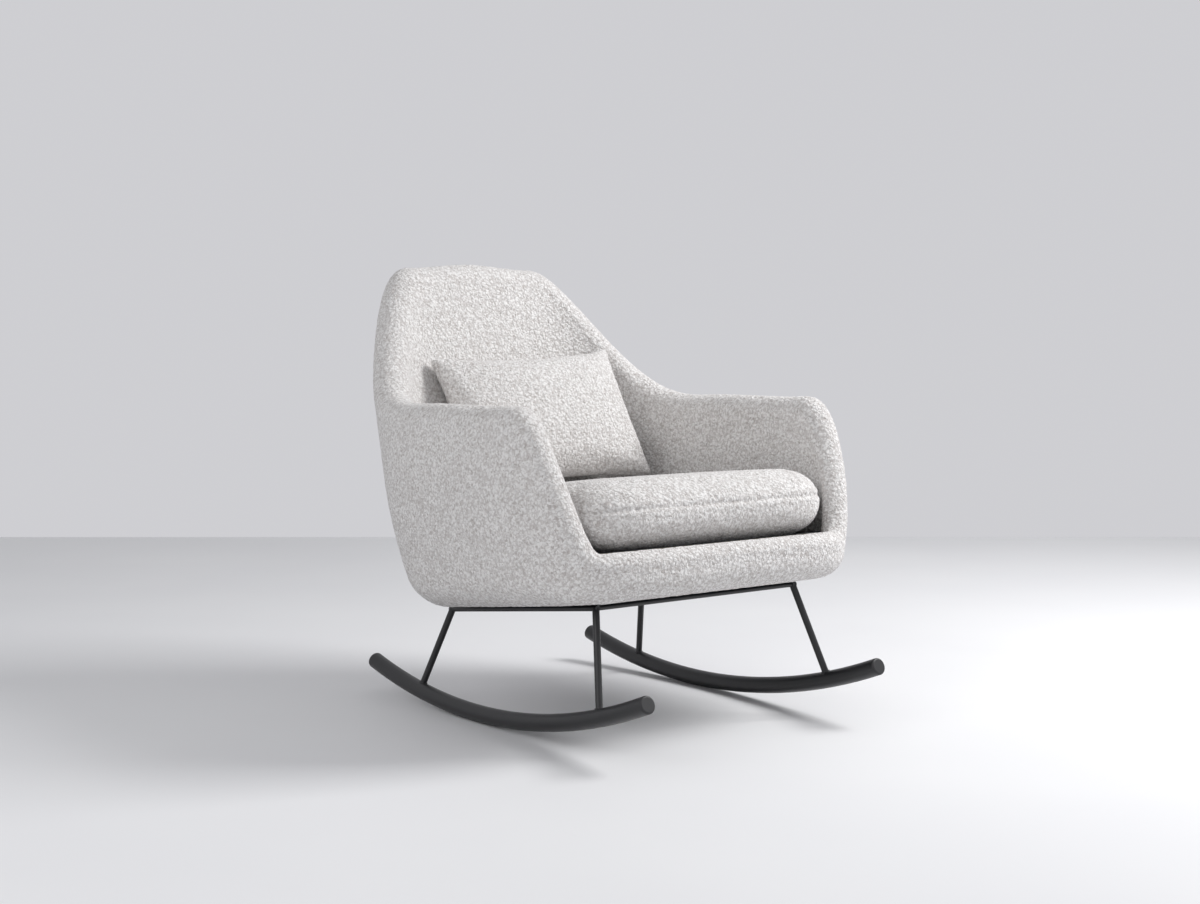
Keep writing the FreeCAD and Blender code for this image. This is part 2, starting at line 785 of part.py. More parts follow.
def pillow_body(inset):
    """Loft of the pillow, below its cloth by inset, set in its place on the seat."""
    shares = (0.995, 0.93, 0.82, 0.64, 0.42, 0.2)
    places = [-share for share in shares] + [0] + list(reversed(shares))
    body = Part.makeLoft([pillow_wire(share, inset) for share in places], True, False)
    body.rotate(V(0, 0, 0), y_axis, -pillow_roll)
    body.rotate(V(0, 0, 0), x_axis, -pillow_lean)
    body.rotate(V(0, 0, 0), z_axis, -pillow_turn)
    body.translate(V(pillow_side, pillow_back, pillow_lift))
    return body


pillow_fill = pillow_body(pillow_cloth)
nodes["lumbar_pillow_fill"] = in_chair(pillow_fill)
nodes["lumbar_pillow_cover"] = in_chair(pillow_body(0).cut(pillow_fill))

os.makedirs("parts", exist_ok=True)
for name, shape in nodes.items():
    shape.exportStep("parts/" + name + ".step")
    print(name, len(shape.Solids), shape.isValid(), round(shape.Volume / 1000, 1), "cm3")
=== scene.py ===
"""Upholstered rocking chair: boucle shell, seat cushion and lumbar pillow on a black steel rocker base.

Shapes are worked out in millimetres in the seat's own frame, as in the part's source, and are then
tilted into the chair's frame and scaled to metres.
"""
import json
import math
import bmesh
import bpy
import numpy as np
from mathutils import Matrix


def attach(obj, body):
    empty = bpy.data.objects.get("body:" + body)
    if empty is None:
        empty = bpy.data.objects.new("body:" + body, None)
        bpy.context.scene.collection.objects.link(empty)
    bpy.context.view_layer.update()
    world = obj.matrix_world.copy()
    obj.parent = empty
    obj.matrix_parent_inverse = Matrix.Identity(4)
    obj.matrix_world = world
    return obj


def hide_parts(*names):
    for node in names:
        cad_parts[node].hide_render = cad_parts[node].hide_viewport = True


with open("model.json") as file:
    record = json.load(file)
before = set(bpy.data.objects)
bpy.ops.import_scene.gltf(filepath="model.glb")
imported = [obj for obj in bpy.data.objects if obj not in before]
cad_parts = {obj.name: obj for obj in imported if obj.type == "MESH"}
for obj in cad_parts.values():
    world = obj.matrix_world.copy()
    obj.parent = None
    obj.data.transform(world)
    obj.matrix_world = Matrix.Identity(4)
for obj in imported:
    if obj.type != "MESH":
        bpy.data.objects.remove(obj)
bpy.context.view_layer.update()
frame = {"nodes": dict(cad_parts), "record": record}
scene = bpy.context.scene

# Place of the seat
seat_tilt = math.radians(7.2)
seat_shift = -16.0
seat_height = 208.6
seat_place = np.array([0, seat_shift, seat_height])
seat_turn = np.array([[1, 0, 0],
                      [0, math.cos(seat_tilt), math.sin(seat_tilt)],
                      [0, -math.sin(seat_tilt), math.cos(seat_tilt)]])
metres = 0.001
millimetres = 1000.0

# Plan and walls of the shell
shell_half_width = 360.0
shell_front_reach = 418.0
shell_rear_reach = 245.0
shell_widest_ahead = 30.0
front_squareness = 4.8
rear_squareness = 3.1
front_wall = 42.0
front_wall_span = (300.0, 500.0)
arm_wall = 64.0
back_wall = 77.0
apron_height = 77.0
arm_height = 323.0
arm_rise = 33.0
back_height = 651.0
back_crown = 10.0
belt_height = 240.0
belt_taper = 33.0
back_lean = math.tan(math.radians(11.7))
apron_lean = math.tan(math.radians(2.9))
arm_slope = (277.0, 451.0)
arm_shoulder = 1.7
back_slope = (530.0, 147.0)
back_sweep = 2.1
arm_rise_span = (391.0, 426.0)
lean_slope = (526.0, 147.0)
apron_lean_fade = (200.0, 500.0)
side_round_span = (250.0, 500.0)
rear_round_span = (450.0, 100.0)
under_rounds = (34.0, 44.0, 98.0)
round_limit = 0.8
cover_thickness = 3.0
cover_flange = 20.0
board_margin = 6.0
deck_level = 77.0
layer_clearance = 1.0
sheet_thickness = 0.8
webbing_hole = (165.0, -235.0, 15.0)
deck_below_rim = 2.0
outline_points = 6001
shell_columns = 760
shell_rows = (4, 28, 128, 52, 120, 4)

# Cloths under the seat and on the deck
sheet_columns = 360
sheet_rows = 90
dust_gap = 0.1
dust_sag = 5.0
dust_pucker = 0.5
dust_pucker_pitch = (41.0, 31.0)
deck_cloth_lift = 0.95
deck_wave = 0.12
deck_wave_length = (23.0, 31.0)

# Seat cushion and lumbar pillow
cushion_half_width = 287.0
cushion_front = 346.0
cushion_rear = 186.0
cushion_squareness = (6.0, 3.6)
cushion_bottom = 79.6
cushion_thickness = 110.0
cushion_crown = 8.0
cushion_rounds = (56.0, 72.0, 40.0)
cushion_front_turn = (0.1, 0.6)
cushion_side_turn = (0.55, 0.4)
cushion_grid = (360, 30, 14)
cushion_seam_share = 0.58
cushion_seam_radius = 300.0
cushion_seam_end = (110.0, 30.0)
cushion_seam_level = (0.8, 0.3)
cushion_back = 160.0
zip_half_length = 130.0
zip_half_width = 8.0
zip_level = 134.4
zip_back = 160.4
zip_margin = (6.0, 4.0)
zip_grid = (1041, 33)
zip_chain_half = 2.6
zip_chain_fade = 0.5
zip_tooth_pitch = 2.0
zip_tooth_bite = 0.9
zip_tooth_rise = (0.25, 0.75)
zip_tape_thickness = 0.5
zip_tape_weave = 0.06
zip_thread_pitch = 1.3
zip_threads_across = 24.0
zip_end = 0.01
pillow_width = 404.0
pillow_height = 288.0
pillow_thickness = 128.0
pillow_edge = 7.0
pillow_swell_room = 7.0
pillow_draw_in = (0.045, 0.105)
pillow_bulge_power = 0.45
pillow_grid = (90, 70)
pillow_seam_span = (0.42, 0.04)
pillow_place = (33.0, 164.8, 328.9)
pillow_lean = math.radians(24.0)
pillow_roll = math.radians(1.9)
pillow_turn = math.radians(4.0)

# Loops of the cloth and sewn seams
loop_size = 0.0062
loop_height = 0.0016
loop_seeds = (11, 29)
coarse_loop_size = 2.3
coarse_loop_share = 0.5
loop_middle = 0.9
cell_offset = 4096.0
cell_far = 4.0
cell_steps = (73856093, 19349663, 83492791)
cell_turns = (2654435761, 2246822519, 3266489917)
seam_drift = 1.7
seam_drift_rate = 0.043
seam_swell = 0.7
seam_swell_away = 9.0
seam_swell_width = 5.0
seam_swell_ripple = 0.6
seam_groove_ripple = 0.2
swell_frames = 16

# Base
rocker_half_spacing = 258.0
rocker_radius = 1300.0
rocker_tube_radius = 15.0
leg_radius = 6.0
leg_ends = ((-357.0, -286.0), (174.0, 139.0))
rail_half_spacing = 222.0
rail_level = -12.0
bead_radius = 1.7
bead_ripple = 0.25
bead_ripples = 9
bead_grid = (72, 14)
bead_search = 60.0
bead_halvings = 40


def smooth(share):
    """Climb from 0 to 1 with level ends: three squares less two cubes of the clipped share."""
    share = np.clip(share, 0.0, 1.0)
    return share * share * (3 - 2 * share)


def in_chair(points):
    """Seat-frame millimetres to chair-frame metres: a turn about X by the seat's tilt, then the seat's
    place."""
    return (points @ seat_turn.T + seat_place) * metres


def in_seat(points):
    """Chair-frame metres back to seat-frame millimetres."""
    return (points * millimetres - seat_place) @ seat_turn


def grid_faces(rows, columns, close_rows, close_columns):
    """Quads of a grid of points numbered row by row, closed round either way if asked."""
    r = np.arange(rows if close_rows else rows - 1)[:, None]
    c = np.arange(columns if close_columns else columns - 1)[None, :]
    r1, c1 = (r + 1) % rows, (c + 1) % columns
    quads = [r * columns + c, r * columns + c1, r1 * columns + c1, r1 * columns + c]
    return np.stack(quads, -1).reshape(-1, 4)


def new_mesh(name, points, faces):
    """Object with its place in its mesh, faces turned outwards and doubled points merged."""
    mesh = bpy.data.meshes.new(name)
    mesh.from_pydata(points.reshape(-1, 3).tolist(), [], faces.tolist())
    work = bmesh.new()
    work.from_mesh(mesh)
    bmesh.ops.remove_doubles(work, verts=work.verts, dist=1e-6)
    bmesh.ops.dissolve_degenerate(work, edges=work.edges, dist=1e-7)
    bmesh.ops.recalc_face_normals(work, faces=work.faces)
    work.to_mesh(mesh)
    work.free()
    mesh.polygons.foreach_set("use_smooth", np.ones(len(mesh.polygons), bool))
    piece = bpy.data.objects.new(name, mesh)
    scene.collection.objects.link(piece)
    return piece


def read_points(mesh):
    """Vertices of a mesh as an array."""
    points = np.zeros(len(mesh.vertices) * 3, np.float32)
    mesh.vertices.foreach_get("co", points)
    return points.reshape(-1, 3).astype(float)


def read_normals(mesh):
    """Vertex normals of a mesh as an array."""
    normals = np.zeros(len(mesh.vertices) * 3, np.float32)
    mesh.vertex_normals.foreach_get("vector", normals)
    return normals.reshape(-1, 3).astype(float)


def write_points(mesh, points):
    """Puts an array back as the vertices of a mesh."""
    mesh.vertices.foreach_set("co", points.astype(np.float32).ravel())
    mesh.update()


def bake_modifiers(piece):
    """Replaces a piece's mesh by what its modifiers make of it."""
    graph = bpy.context.evaluated_depsgraph_get()
    made = bpy.data.meshes.new_from_object(piece.evaluated_get(graph))
    old = piece.data
    piece.modifiers.clear()
    piece.data = made
    bpy.data.meshes.remove(old)
    made.polygons.foreach_set("use_smooth", np.ones(len(made.polygons), bool))


def cell_hash(cells, seed):
    """Three even random numbers for each whole-numbered cell, from multiplied and shifted integers."""
    x, y, z = (cells[:, axis].astype(np.uint64) * np.uint64(step) for axis, step in enumerate(cell_steps))
    mix = x ^ y ^ z ^ np.uint64(seed)
    out = []
    for turn in cell_turns:
        mix = (mix ^ (mix >> np.uint64(15))) * np.uint64(turn) & np.uint64(0xFFFFFFFF)
        out.append((mix ^ (mix >> np.uint64(13))) & np.uint64(0xFFFF))
    return np.stack(out, -1).astype(float) / 0xFFFF


def nubs(points, size, seed):
    """Rounded nubs: each cube of that size holds one random point, and a nub falls off with the square of
    the distance to the nearest of them."""
    scaled = points / size + cell_offset
    cells = np.floor(scaled)
    nearest = np.full(len(points), cell_far)
    steps = np.array(np.meshgrid([-1, 0, 1], [-1, 0, 1], [-1, 0, 1])).reshape(3, -1).T
    for step in steps:
        corner = cells + step
        away = scaled - corner - cell_hash(corner, seed)
        nearest = np.minimum(nearest, (away * away).sum(1))
    return np.clip(1 - nearest, 0, 1)


def add_nubs(piece):
    """Lifts the cloth along its normals by fine nubs and a share of coarser ones, half above the plain
    surface and half below."""
    points = read_points(piece.data)
    fine = nubs(points, loop_size, loop_seeds[0])
    coarse = nubs(points, loop_size * coarse_loop_size, loop_seeds[1])
    lift = (fine + coarse_loop_share * coarse - loop_middle) * loop_height
    write_points(piece.data, points + read_normals(piece.data) * lift[:, None])


def sew(piece, offset, along, mask, depth, width, pitch):
    """Sewn seam after the swelling: a groove that falls off with the square of the offset from the seam, a
    low swell on both sides of it and puckers that come and go along it."""
    ripple = np.sin(along * 2 * math.pi / pitch + seam_drift * np.sin(along * seam_drift_rate))
    raised = seam_swell * np.exp(-((np.abs(offset) - seam_swell_away) / seam_swell_width) ** 2)
    groove = depth * np.exp(-(offset / width) ** 2) * (1 + seam_groove_ripple * ripple)
    lift = (raised * (1 + seam_swell_ripple * ripple) - groove) * mask * metres
    write_points(piece.data, read_points(piece.data) + read_normals(piece.data) * lift[:, None])


def swell(piece, voxel, pressure, cap):
    """Padded cloth: the form is remeshed evenly, swollen as cloth by pressure from inside with no gravity,
    and each point is kept within cap of where it began. One subdivision follows."""
    remesh = piece.modifiers.new("even", "REMESH")
    remesh.mode = "VOXEL"
    remesh.voxel_size = voxel
    bake_modifiers(piece)
    begin = read_points(piece.data)
    cloth = piece.modifiers.new("swell", "CLOTH")
    settings = cloth.settings
    settings.quality = 4
    settings.mass = 0.3
    settings.tension_stiffness = 18
    settings.compression_stiffness = 12
    settings.shear_stiffness = 6
    settings.bending_stiffness = 0.6
    settings.use_pressure = True
    settings.uniform_pressure_force = pressure
    settings.effector_weights.gravity = 0
    cloth.collision_settings.use_self_collision = False
    cloth.point_cache.frame_start = 1
    cloth.point_cache.frame_end = swell_frames
    for step in range(1, swell_frames + 1):
        scene.frame_set(step)
    bake_modifiers(piece)
    scene.frame_set(1)
    move = read_points(piece.data) - begin
    far = np.linalg.norm(move, axis=1, keepdims=True)
    write_points(piece.data, begin + move * np.minimum(1, cap / np.maximum(far, 1e-9)))
    finer = piece.modifiers.new("finer", "SUBSURF")
    finer.levels = 1
    finer.render_levels = 1
    bake_modifiers(piece)


# Shell: a closed section carried round the plan
def plan_reach(ahead):
    """Reach and squareness of the plan: one pair where ahead is above 0 and another behind."""
    front, rear = shell_front_reach - shell_widest_ahead, shell_rear_reach + shell_widest_ahead
    return np.where(ahead > 0, front, rear), np.where(ahead > 0, front_squareness, rear_squareness)


def plan_outline(distances):
    """Half plan of the shell: two superellipses that meet at the widest place, read at distances from the
    front centre. Returns the distances, the points, their outward directions and the half length."""
    angle = np.linspace(0, math.pi, outline_points)
    side, ahead = np.abs(np.sin(angle)), np.cos(angle)
    reach, power = plan_reach(ahead)
    size = ((side / shell_half_width) ** power + (np.abs(ahead) / reach) ** power) ** (-1 / power)
    x, y = size * side, -shell_widest_ahead - size * ahead
    length = np.concatenate([[0.0], np.cumsum(np.hypot(np.diff(x), np.diff(y)))])
    along = distances(length[-1])
    x, y = np.interp(along, length, x), np.interp(along, length, y)
    offset = y + shell_widest_ahead
    reach, power = plan_reach(-offset)
    nx = (x / shell_half_width) ** (power - 1) / shell_half_width
    ny = np.sign(offset) * (np.abs(offset) / reach) ** (power - 1) / reach
    unit = np.hypot(nx, ny)
    return along, x, y, nx / unit, ny / unit, length[-1]


def shell_stations(columns):
    """All that the shell's sections need, for even distances round the whole plan: the rim climbs from the
    apron to the arms and on to the back in level-ended steps, and the wall, lean and lower round follow."""
    def fold(length):
        whole = np.arange(columns) * 2 * length / columns
        return np.minimum(whole, 2 * length - whole)
    along, x, y, nx, ny, length = plan_outline(fold)
    mirror = np.where(np.arange(columns) * 2 <= columns, 1.0, -1.0)

    def fall(at, slope):
        return smooth((at - length + slope[0]) / (slope[0] - slope[1]))

    def rim(at):
        back = fall(at, back_slope) ** back_sweep
        climb = 1 - (1 - smooth((at - arm_slope[0]) / (arm_slope[1] - arm_slope[0]))) ** arm_shoulder
        arm = smooth((at - arm_rise_span[0]) / (length - arm_rise_span[1] - arm_rise_span[0]))
        top = apron_height + (arm_height - apron_height) * climb + arm_rise * arm * (1 - back)
        top += (back_height - arm_height) * back
        return top - back_crown * back * smooth((length - at) / back_slope[1])

    back = fall(along, back_slope) ** back_sweep
    top = rim(along)
    thick = smooth((along - front_wall_span[0]) / (front_wall_span[1] - front_wall_span[0]))
    wall = front_wall + (arm_wall - front_wall) * thick + (back_wall - arm_wall) * back
    slope = (rim(along + 1) - rim(along - 1)) / 2
    rise = np.minimum(wall / 2 * np.hypot(1, slope), round_limit * top)
    spine = top - rise
    fade = smooth((along - apron_lean_fade[0]) / (apron_lean_fade[1] - apron_lean_fade[0]))
    lean = back_lean * fall(along, lean_slope) + apron_lean * (1 - fade)
    side = smooth((along - side_round_span[0]) / (side_round_span[1] - side_round_span[0]))
    rear = fall(along, rear_round_span)
    under = under_rounds[0] + (under_rounds[1] - under_rounds[0]) * side
    under = np.minimum(under + (under_rounds[2] - under_rounds[1]) * rear, round_limit * spine)
    return dict(x=x * mirror, y=y, nx=nx * mirror, ny=ny, lean=lean,
                wall=wall, rise=rise, spine=spine, under=under)


def taper(up):
    """How far the outside is drawn in below the belt: the square of the share below it."""
    return -belt_taper * np.clip(1 - up / belt_height, 0, None) ** 2


def inner_lines(s):
    """How far the inside of the wall and the edge of the seat board lie from the plan."""
    inner = taper(s["spine"]) - s["wall"]
    edge = -(belt_taper + s["under"] + cover_thickness + board_margin)
    return inner, np.minimum(edge, inner - board_margin)


def shell_section(station, counts):
    """Section from the flange under the seat, round the lower edge, up the outside, over the rim, down the
    inside to the deck and back underneath. Each stretch is a line or an arc in outward distance and
    height."""
    s = {key: value[None, :] for key, value in station.items()}
    flange, arc, outside, rim, inside, hidden = counts

    def share(count):
        return (np.arange(count) / count)[:, None]

    inner, edge = inner_lines(s)
    size = s["under"] + cover_thickness
    bottom = -cover_thickness + 0 * inner
    start = taper(bottom) - size
    rows = [(edge - cover_flange + (start - edge + cover_flange) * share(flange), bottom + 0 * share(flange))]
    turn = share(arc) * math.pi / 2
    up = s["under"] - size * np.cos(turn)
    rows.append((taper(up) - size + size * np.sin(turn), up))
    up = s["under"] + (s["spine"] - s["under"]) * share(outside)
    rows.append((taper(up), up))
    turn = share(rim) * math.pi
    rows.append((inner + s["wall"] / 2 * (1 + np.cos(turn)), s["spine"] + s["rise"] * np.sin(turn)))
    deck = np.minimum(deck_level, s["spine"] - deck_below_rim)
    rows.append((inner + 0 * share(inside), s["spine"] + (deck - s["spine"]) * share(inside)))
    rows.append((inner + (edge - cover_flange - inner) * share(hidden), deck + 0 * share(hidden)))
    rows.append((edge - cover_flange + 0 * share(hidden), deck + (bottom - deck) * share(hidden)))
    out = np.concatenate([row[0] + 0 * inner for row in rows])
    up = np.concatenate([row[1] + 0 * inner for row in rows])
    return np.stack([s["x"] + s["nx"] * out, s["y"] + s["ny"] * out + s["lean"] * up, up], -1)


def make_shell(name):
    """The padded tub: shell_section at even steps round the plan, closed both ways."""
    points = shell_section(shell_stations(shell_columns), shell_rows)
    piece = new_mesh(name, in_chair(points), grid_faces(*points.shape[:2], True, True))
    add_nubs(piece)
    return piece


# Cushion and pillow
def make_cushion(name):
    """Pill: a superellipse plan whose edge turns through half a circle, with a low crown that rises to the
    middle. The seam is a groove along the edge, put in after the swelling, and the back is flat at the
    zip."""
    columns, edge_rows, inner_rows = cushion_grid
    around = np.linspace(0, 2 * math.pi, columns, endpoint=False)[None, :]
    side, ahead = np.sin(around), np.cos(around)
    reach = np.where(ahead > 0, cushion_front, cushion_rear)
    power = np.where(ahead > 0, cushion_squareness[0], cushion_squareness[1])
    size = ((np.abs(side) / cushion_half_width) ** power + (np.abs(ahead) / reach) ** power) ** (-1 / power)
    x, y = size * side, -size * ahead
    front_share = smooth((ahead - cushion_front_turn[0]) / cushion_front_turn[1])
    side_share = smooth((np.abs(side) - cushion_side_turn[0]) / cushion_side_turn[1])
    depth = cushion_rounds[2] + (cushion_rounds[0] - cushion_rounds[2]) * front_share
    depth = depth + (cushion_rounds[1] - depth) * side_share
    half = cushion_thickness / 2
    turn = np.linspace(-math.pi / 2, math.pi / 2, edge_rows)[:, None]
    shrink = 1 - depth / size * (1 - np.cos(turn))
    inward = np.linspace(1, 0, inner_rows)[1:, None]
    last = shrink[-1:]
    height = half * np.sin(turn) + 0 * around
    top = half + cushion_crown * (1 - inward ** 2) + 0 * around
    scale = np.concatenate([(last * inward)[::-1], shrink, last * inward])
    up = np.concatenate([-half + 0 * top[::-1], height, top])
    points = np.stack([x * scale, y * scale - shell_widest_ahead, up + cushion_bottom + half], -1)
    piece = new_mesh(name, in_chair(points), grid_faces(*points.shape[:2], False, True))
    swell(piece, voxel=0.005, pressure=3.0, cap=0.004)
    place = in_seat(read_points(piece.data))
    offset = place[:, 2] - cushion_bottom - cushion_seam_share * cushion_thickness
    along = np.arctan2(place[:, 0], -place[:, 1] - shell_widest_ahead) * cushion_seam_radius
    level = np.abs(in_seat(read_normals(piece.data) * metres + in_chair(np.zeros(3)))[:, 2])
    mask = smooth((cushion_seam_end[0] - place[:, 1]) / cushion_seam_end[1])
    mask = mask * smooth((cushion_seam_level[0] - level) / cushion_seam_level[1])
    sew(piece, offset, along, mask, depth=2.8, width=3.4, pitch=13.0)
    add_nubs(piece)
    place = in_seat(read_points(piece.data))
    by_zip = np.abs(place[:, 0]) < zip_half_length + zip_margin[0]
    by_zip &= np.abs(place[:, 2] - zip_level) < zip_half_width + zip_margin[1]
    place[:, 1] = np.where(by_zip, np.minimum(place[:, 1], cushion_back), place[:, 1])
    write_points(piece.data, in_chair(place))
    return piece


def make_pillow(name):
    """Two bulging faces over a square of two parameters, with a narrow strip round the edge between them. The
    outline is drawn in between the corners, and the bulge is a root of the product of what is left to the
    four edges."""
    a, b = np.meshgrid(np.linspace(-1, 1, pillow_grid[0]), np.linspace(-1, 1, pillow_grid[1]))
    x = a * pillow_width / 2 * (1 - pillow_draw_in[0] * (1 - b * b))
    z = b * pillow_height / 2 * (1 - pillow_draw_in[1] * (1 - a * a))
    bulge = ((1 - a * a) * (1 - b * b)) ** pillow_bulge_power
    y = pillow_edge / 2 + (pillow_thickness / 2 - pillow_edge / 2 - pillow_swell_room) * bulge
    rows, columns = a.shape
    faces = grid_faces(rows, columns, False, False)
    points = np.concatenate([np.stack([x, way * y, z], -1).reshape(-1, 3) for way in (-1, 1)])
    number = np.arange(rows * columns).reshape(rows, columns)
    loop = np.concatenate([number[0, :-1], number[:-1, -1], number[-1, :0:-1], number[:0:-1, 0]])
    ahead = np.roll(loop, -1)
    strip = np.stack([loop, ahead, ahead + rows * columns, loop + rows * columns], -1)
    faces = np.concatenate([faces, faces[:, ::-1] + rows * columns, strip])
    cr, sr = math.cos(pillow_roll), math.sin(pillow_roll)
    cl, sl = math.cos(pillow_lean), math.sin(pillow_lean)
    ct, st = math.cos(pillow_turn), math.sin(pillow_turn)
    roll = np.array([[cr, 0, -sr], [0, 1, 0], [sr, 0, cr]])
    lean = np.array([[1, 0, 0], [0, cl, sl], [0, -sl, cl]])
    pose = np.array([[ct, st, 0], [-st, ct, 0], [0, 0, 1]]) @ lean @ roll
    piece = new_mesh(name, in_chair(points @ pose.T + np.array(pillow_place)), faces)
    swell(piece, voxel=0.004, pressure=4.0, cap=0.008)
    place = (in_seat(read_points(piece.data)) - np.array(pillow_place)) @ pose
    rim = np.maximum(np.abs(place[:, 0]) / pillow_width, np.abs(place[:, 2]) / pillow_height)
    mask = smooth((rim - pillow_seam_span[0]) / pillow_seam_span[1])
    sew(piece, place[:, 1], place[:, 0] + place[:, 2], mask, depth=1.6, width=2.6, pitch=17.0)
    add_nubs(piece)
    return piece


# Sheets, zip and weld beads
def make_sheet(name, offset, up, face):
    """Thin cloth inside an outline at an offset from the plan: points run from the middle to the outline,
    face gives their height, and the back of the cloth lies its thickness below. Returns the piece, its flat
    size and its area."""
    s = shell_stations(sheet_columns)
    out = offset(*inner_lines(s))
    outline = np.stack([s["x"] + s["nx"] * out, s["y"] + s["ny"] * out + s["lean"] * up], -1)
    middle = np.array([0.0, (outline[:, 1].max() + outline[:, 1].min()) / 2])
    flat = middle + (outline - middle) * np.linspace(0, 1, sheet_rows)[:, None, None]
    top = np.concatenate([flat, face(flat[..., :1], flat[..., 1:])], -1)
    points = np.concatenate([top, top[::-1] - np.array([0, 0, sheet_thickness])])
    piece = new_mesh(name, in_chair(points), grid_faces(*points.shape[:2], False, True))
    x, y = outline[:, 0], outline[:, 1]
    area = abs(np.dot(x, np.roll(y, -1)) - np.dot(y, np.roll(x, -1))) / (2 * millimetres ** 2)
    return piece, (float(np.ptp(x)) / millimetres, float(np.ptp(y)) / millimetres), float(area)


def dust_face(x, y):
    """Height of the dust cover: level at its staples, sagging in the webbing hole by the product of what is
    left to its edges, with low puckers that run in from the staples."""
    half, front, rear = webbing_hole
    u = np.clip(np.abs(x) / half, 0, 1)
    v = np.clip(np.abs(2 * y - front - rear) / (rear - front), 0, 1)
    hang = (1 - u * u) * (1 - v * v)
    pucker = np.cos(x * 2 * math.pi / dust_pucker_pitch[0]) * np.cos(y * 2 * math.pi / dust_pucker_pitch[1])
    return -cover_thickness - dust_gap - dust_sag * hang - dust_pucker * pucker * np.sqrt(hang)


def deck_face(x, y):
    """Height of the deck cloth: all but level on its pad, with faint waves from the cushion's weight."""
    wave = deck_wave * np.sin(x / deck_wave_length[0]) * np.sin(y / deck_wave_length[1])
    return deck_level + deck_cloth_lift + wave


def make_zip(name):
    """Zip on the cushion's back: a tape section of two flat wings and a raised middle, carried along X, with
    the middle cut into teeth by a wave. The section closes to its middle at both ends."""
    x = np.linspace(-zip_half_length, zip_half_length, zip_grid[0])[None, :]
    across = np.linspace(-1, 1, zip_grid[1])[:, None]
    teeth = smooth((zip_chain_half - np.abs(across) * zip_half_width) / zip_chain_fade)
    side = np.where(across > 0, 0.0, math.pi)
    bite = smooth(0.5 + zip_tooth_bite * np.sin(x * 2 * math.pi / zip_tooth_pitch + side))
    threads = np.sin(x * 2 * math.pi / zip_thread_pitch) * np.sin(across * zip_threads_across)
    tooth = teeth * (zip_tooth_rise[0] + zip_tooth_rise[1] * bite)
    rise = zip_tape_thickness + zip_tape_weave * threads * (1 - teeth) + tooth
    ends = (np.abs(x) < zip_half_length - zip_end).astype(float)
    up = zip_level + across * zip_half_width * ends
    outer = np.stack([x + 0 * up, zip_back + rise * ends, up], -1)
    inner = np.stack([x + 0 * up, zip_back + 0 * up, up], -1)
    points = np.concatenate([outer, inner[::-1]])
    return new_mesh(name, in_chair(points), grid_faces(*points.shape[:2], True, False))


def make_beads(name):
    """Weld beads where the legs stand on the rockers: a small round section carried along the line where the
    leg's cylinder meets the bent tube, found by halving the distance along the leg."""
    line = rocker_radius - rocker_tube_radius
    turn = np.linspace(0, 2 * math.pi, bead_grid[0], endpoint=False)[:, None]
    around = np.linspace(0, 2 * math.pi, bead_grid[1], endpoint=False)[None, :, None]
    meshes = []
    for side in (-1, 1):
        for foot, top in leg_ends:
            level = rocker_radius - math.sqrt(line ** 2 - foot ** 2)
            low = np.array([side * rocker_half_spacing, foot, level])
            high = in_chair(np.array([side * rail_half_spacing, top, rail_level])) * millimetres
            axis = (high - low) / np.linalg.norm(high - low)
            across = np.cross(axis, [0, 1, 0])
            across /= np.linalg.norm(across)
            radial = np.cos(turn) * across + np.sin(turn) * np.cross(axis, across)
            near, far = np.zeros_like(turn), np.full_like(turn, bead_search)
            for _ in range(bead_halvings):
                half = (near + far) / 2
                spot = low + half * axis + leg_radius * radial
                ring = np.hypot(spot[:, 1], spot[:, 2] - rocker_radius) - line
                inside = np.hypot(spot[:, 0] - low[0], ring)[:, None] < rocker_tube_radius
                near, far = np.where(inside, half, near), np.where(inside, far, half)
            size = (bead_radius + bead_ripple * np.sin(bead_ripples * turn))[:, :, None]
            bead = spot[:, None, :] + size * (np.cos(around) * radial[:, None, :] + np.sin(around) * axis)
            meshes.append(bead * metres)
    faces = grid_faces(*meshes[0].shape[:2], True, True)
    count = meshes[0].shape[0] * meshes[0].shape[1]
    faces = np.concatenate([faces + count * index for index in range(len(meshes))])
    return new_mesh(name, np.stack(meshes), faces)


# Materials
colour_kind = "NodeSocketColor"
number_kind = "NodeSocketFloat"


def feed(tree, socket, value):
    """Gives a socket a link from another socket, a colour, a triple or a number."""
    if isinstance(value, bpy.types.NodeSocket):
        tree.links.new(value, socket)
    elif socket.type == "RGBA":
        socket.default_value = (*value, 1.0)
    else:
        socket.default_value = value


def node_group(name, inputs, outputs):
    """Empty shader group with sockets of the named kinds. Returns it, what it is given and what it puts
    out."""
    group = bpy.data.node_groups.new(name, "ShaderNodeTree")
    for way, sockets in (("INPUT", inputs), ("OUTPUT", outputs)):
        for label, kind in sockets:
            group.interface.new_socket(label, in_out=way, socket_type=kind)
    given = group.nodes.new("NodeGroupInput").outputs
    return group, given, group.nodes.new("NodeGroupOutput").inputs


def object_place(tree):
    """Object coordinates in metres."""
    return tree.nodes.new("ShaderNodeTexCoord").outputs["Object"]


def math_node(tree, operation, first, second=0.0, third=0.0):
    """Math node whose inputs are sockets or numbers."""
    node = tree.nodes.new("ShaderNodeMath")
    node.operation = operation
    for socket, value in zip(node.inputs, (first, second, third)):
        feed(tree, socket, value)
    return node.outputs[0]


def mix_colour(tree, share, first, second):
    """Mix of two colours by a share."""
    node = tree.nodes.new("ShaderNodeMix")
    node.data_type = "RGBA"
    for index, value in ((0, share), (6, first), (7, second)):
        feed(tree, node.inputs[index], value)
    return node.outputs[2]


